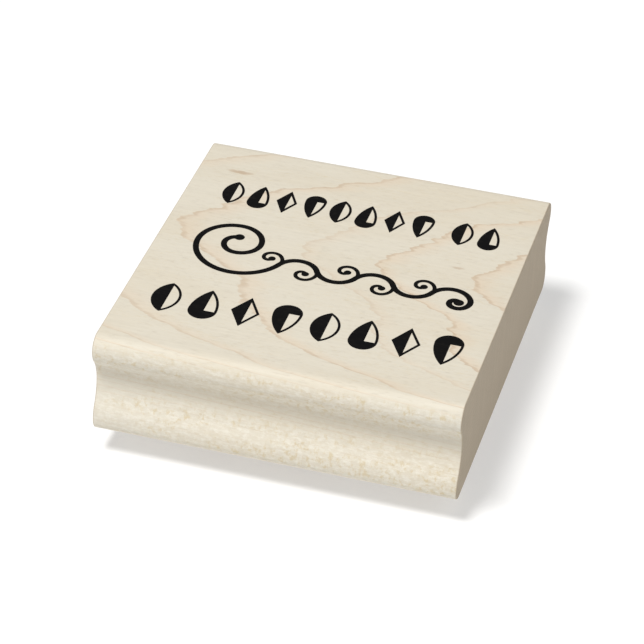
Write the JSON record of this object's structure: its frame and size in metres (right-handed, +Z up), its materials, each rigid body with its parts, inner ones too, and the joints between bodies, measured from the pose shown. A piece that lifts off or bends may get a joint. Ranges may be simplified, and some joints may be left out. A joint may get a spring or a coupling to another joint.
{
  "type": "rubber stamp",
  "caption": "Wood-mounted craft stamp: moulded maple block with a printed ornament index, foam cushion and raised rubber die.",
  "frame": {"origin": "under the middle of the block, on the plane of the die's printing surface", "axes": "+Z up out of the printed top, +X along the moulding from the sawn left end to the sawn right end, -Y towards the front moulding"},
  "size_m": [0.0762, 0.0826, 0.0288],
  "materials": {
    "maple": "unfinished, sanded",
    "index_ink": "matte printed ink",
    "mounting_film": "translucent double-sided film",
    "cushion": "cut closed-cell sponge",
    "die_rubber": "matte engraved rubber"
  },
  "bodies": {
    "handle_block": {"wood_block": "maple", "index_top_band": "index_ink", "index_flourish": "index_ink", "index_bottom_band": "index_ink", "block_film": "mounting_film", "cushion_foam": "cushion"},
    "die": {"die_film": "mounting_film", "rubber_die": "die_rubber"}
  },
  "joints": [
    {"name": "cushion_press", "type": "slide", "parent": "handle_block", "child": "die", "axis": [0, 0, 1], "range_m": [0, 0.0008], "stiffness_N_per_m": 65000, "deforming": ["cushion_foam"]}
  ]
}
